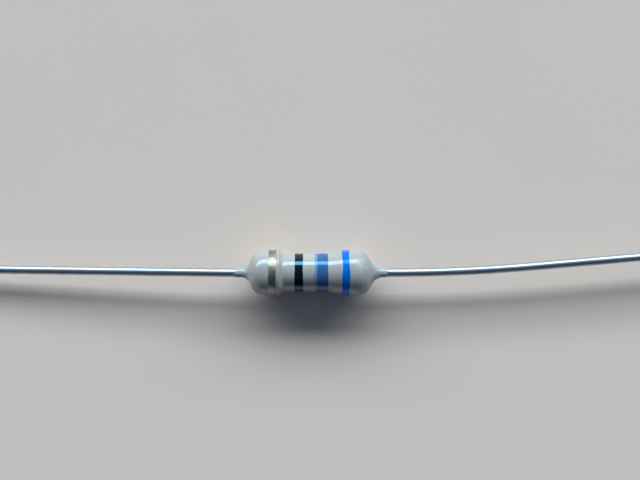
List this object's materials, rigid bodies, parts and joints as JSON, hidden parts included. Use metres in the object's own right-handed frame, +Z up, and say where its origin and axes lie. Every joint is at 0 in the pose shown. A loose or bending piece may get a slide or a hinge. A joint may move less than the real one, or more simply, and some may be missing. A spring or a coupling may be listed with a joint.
{
  "type": "axial resistor",
  "caption": "Small through-hole resistor: a dog-bone body in pale lacquer with colour-code bands, and a long thin wire lead out of each end.",
  "frame": {"origin": "middle of the whole resistor's footprint, leads included, on the surface that it lies on", "axes": "+X along the body from the gold band's end towards the blue band's end, +Z up off the surface, +Y to the side that both tips swing to"},
  "size_m": [0.0616, 0.0034, 0.0024],
  "materials": {
    "ceramic": "matt fired ceramic",
    "carbon": "matt dark grey pyrolytic film",
    "cap_metal": "drawn steel, dull tin plate",
    "tinned_wire": "bright smooth tin plate",
    "lacquer": "glossy dipped lacquer, pale grey, dry and dusty on the right cone",
    "ink_gold": "metal-flake ink, pale champagne gold",
    "ink_black": "glossy black ink",
    "ink_grey": "glossy slate blue-grey ink",
    "ink_blue": "glossy blue ink"
  },
  "bodies": {
    "root": {"ceramic_rod": "ceramic", "carbon_film": "carbon", "end_cap_left": "cap_metal", "end_cap_right": "cap_metal", "lead_wire_left": "tinned_wire", "lead_wire_right": "tinned_wire", "lacquer_coating": "lacquer", "band_gold": "ink_gold", "band_black": "ink_black", "band_grey": "ink_grey", "band_blue": "ink_blue"}
  },
  "joints": []
}
